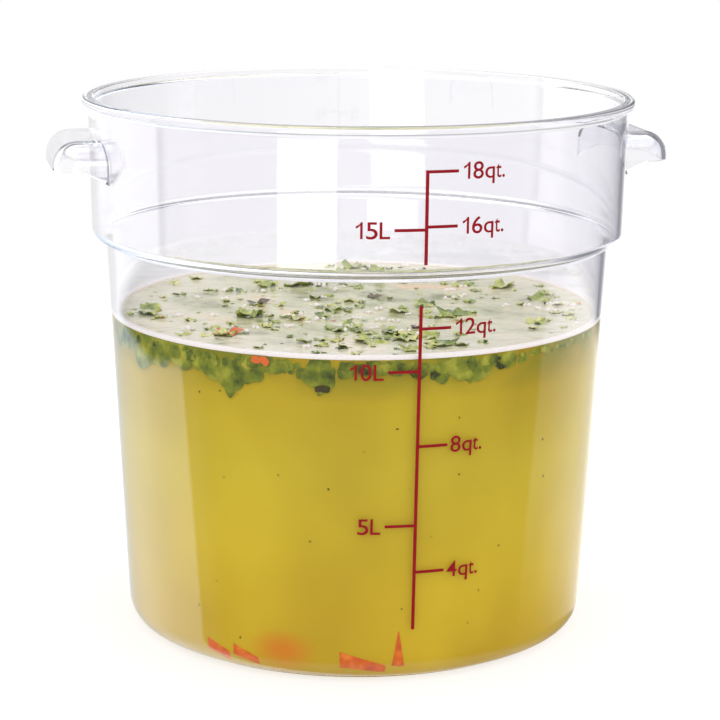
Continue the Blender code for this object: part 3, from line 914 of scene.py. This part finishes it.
direction = room.nodes.new("ShaderNodeTexCoord").outputs["Generated"]
turned = room.nodes.new("ShaderNodeMapping")
turned.vector_type = "NORMAL"
feed(turned.inputs["Rotation"], (0, 0, math.radians(VIEW_TURN)))
feed(turned.inputs["Vector"], direction)
split = room.nodes.new("ShaderNodeSeparateXYZ")
feed(split.inputs["Vector"], turned.outputs["Vector"])
azimuth = times(calc("ARCTAN2", split.outputs["X"], times(split.outputs["Y"], -1.0)), 180 / math.pi)
left = times(azimuth, -1.0)
rise = times(calc("ARCSINE", split.outputs["Z"]), 180 / math.pi)
low = without(step_up(rise, *SPLIT))
high = without(low)
slant_rise = calc("MAXIMUM", calc("MINIMUM", rise, -13.0), -24.0)
past_edge = plus(times(plus(slant_rise, 17.8), CLOTH_SLANT), left)
hem_line = calc("MINIMUM", plus(times(left, -0.045), rise), plus(times(left, -0.082), rise, 4.144))


def left_cloth():
    """A bright cloth at the left: its edge slants, it fades behind, and it is open down to its hem."""
    cloth = plus(times(step_up(past_edge, *CLOTH_EDGE), LEFT_STRENGTH),
                 times(step_up(past_edge, 72.0, 86.0), 0.30))
    cloth = calc("SUBTRACT", cloth, times(step_up(left, 112.0, 160.0), 0.90))
    return times(cloth, plus(times(step_up(hem_line, *CLOTH_HEM), low), high))


def right_cloth():
    """A cloth at the right: bright below the split and faint above it, with a low light behind."""
    below = calc("SUBTRACT", RIGHT_STRENGTH, times(step_up(rise, -19.0, -23.0), 0.84))
    below = plus(times(step_up(azimuth, 148.0, 172.0), 0.50), below)
    edge = times(step_up(plus(times(rise, -0.75), azimuth), 106.0, 110.0), 0.55)
    edge = plus(times(step_up(azimuth, 96.0, 122.0), 0.45), edge)
    above = plus(times(step_up(azimuth, 95.0, 108.0), 0.27), times(step_up(azimuth, 160.0, 172.0), 0.30))
    low_light = times(step_up(azimuth, 154.0, 166.0), step_up(rise, 2.0, -6.0), 0.75)
    return plus(times(below, low, edge), times(plus(low_light, above), high))


def front_light():
    """The room behind the camera, dimmer towards the right and ending at both sides."""
    light = without(times(step_up(azimuth, -5.0, 50.0), 0.40))
    return times(light, without(step_up(left, 86.0, 92.0)), without(step_up(azimuth, 92.0, 105.0)), high)


def light_strip():
    """An upright strip of light on the camera's left, which leans over in its upper part."""
    leaning = plus(times(calc("MAXIMUM", plus(rise, 10.0), 0.0), 0.6), left)
    return times(step_up(leaning, 8.0, 9.0), step_up(leaning, 34.0, 33.0), high, STRIP_STRENGTH)


def overhead_light():
    """The light over the container, which is brighter on the left."""
    brighter = times(step_up(left, 5.0, 40.0), without(step_up(left, 120.0, 150.0)))
    return times(plus(times(brighter, 2.0), OVERHEAD_STRENGTH), step_up(rise, 38.0, 46.0))


around = plus(left_cloth(), right_cloth(), light_strip(), front_light())
around = times(around, without(step_up(rise, 24.0, 34.0)))
from_below = times(step_up(times(rise, -1.0), 30.0, 45.0), 0.5)

# Mirrored rays meet the room with its cloths and lights. Other rays meet an even lamp, a little
# brighter overhead, and the camera's own, straight or through the plastic, a white backdrop.

path = room.nodes.new("ShaderNodeLightPath")
bounces = reflections(path)
mirrored = times(calc("GREATER_THAN", bounces, 1.5), path.outputs["Is Glossy Ray"])
much_mirrored = times(calc("GREATER_THAN", bounces, TRAPPED_AFTER), 0.5)
studio = plus(around, overhead_light(), from_below, ROOM_STRENGTH, much_mirrored)
lamp = plus(times(step_up(rise, 0.0, 80.0), 0.35), LAMP_STRENGTH)
seen = calc("MAXIMUM", path.outputs["Is Camera Ray"],
            times(path.outputs["Is Transmission Ray"], calc("LESS_THAN", bounces, 1.5)))


def between(start, end, share):
    """The value a share of the way from one to another."""
    node = add_node("Mix", start, end, share)
    node.data_type = "FLOAT"
    feed(node.inputs[0], share)
    feed(node.inputs[2], start)
    feed(node.inputs[3], end)
    return node.outputs[0]


SHADE_TINT = (0.84, 0.86, 1.0, 1)
LIGHT_TINT = (1, 1, 1, 1)
CLOTH_TINT = (0.88, 0.98, 1.12, 1)
dusk = times(step_up(rise, 14.0, 36.0), path.outputs["Is Transmission Ray"])
backdrop = between(BACKDROP_STRENGTH, 0.55, dusk)
strength = between(between(lamp, studio, mirrored), backdrop, seen)
tint = mixed(rescale(strength, 0.1, 1.0), SHADE_TINT, LIGHT_TINT)
low_cloth = times(step_up(past_edge, *CLOTH_EDGE), low, mirrored)
sky = room.nodes.new("ShaderNodeBackground")
feed(sky.inputs["Color"], mixed(low_cloth, tint, CLOTH_TINT))
feed(sky.inputs["Strength"], strength)
feed(room.nodes.new("ShaderNodeOutputWorld").inputs["Surface"], sky.outputs["Background"])

CAMERA_PLACE = (0.002296, -1.324029, 0.454128)
CAMERA_PITCH = 13.414
CAMERA_ROLL = 0.528
camera_data = bpy.data.cameras.new("photo_camera")
camera = bpy.data.objects.new("photo_camera", camera_data)
bpy.context.collection.objects.link(camera)
camera_data.sensor_fit = "HORIZONTAL"
camera_data.sensor_width = 36.0
camera_data.lens = 114.448
camera_data.shift_y = 0.03144
camera_data.clip_start = 0.05
pitch, roll = math.radians(CAMERA_PITCH), math.radians(CAMERA_ROLL)
forward = Vector((0, math.cos(pitch), -math.sin(pitch)))
upward = Vector((0, math.sin(pitch), math.cos(pitch)))
right_hand = Vector((1, 0, 0)) * math.cos(roll) + upward * math.sin(roll)
upward = Vector((-1, 0, 0)) * math.sin(roll) + upward * math.cos(roll)
looking = Matrix((right_hand, upward, -forward)).transposed().to_4x4()
round_it = Matrix.Rotation(math.radians(-VIEW_TURN), 4, "Z")
camera.matrix_world = round_it @ Matrix.Translation(CAMERA_PLACE) @ looking
bpy.context.scene.camera = camera

bpy.context.scene.view_settings.view_transform = "Standard"
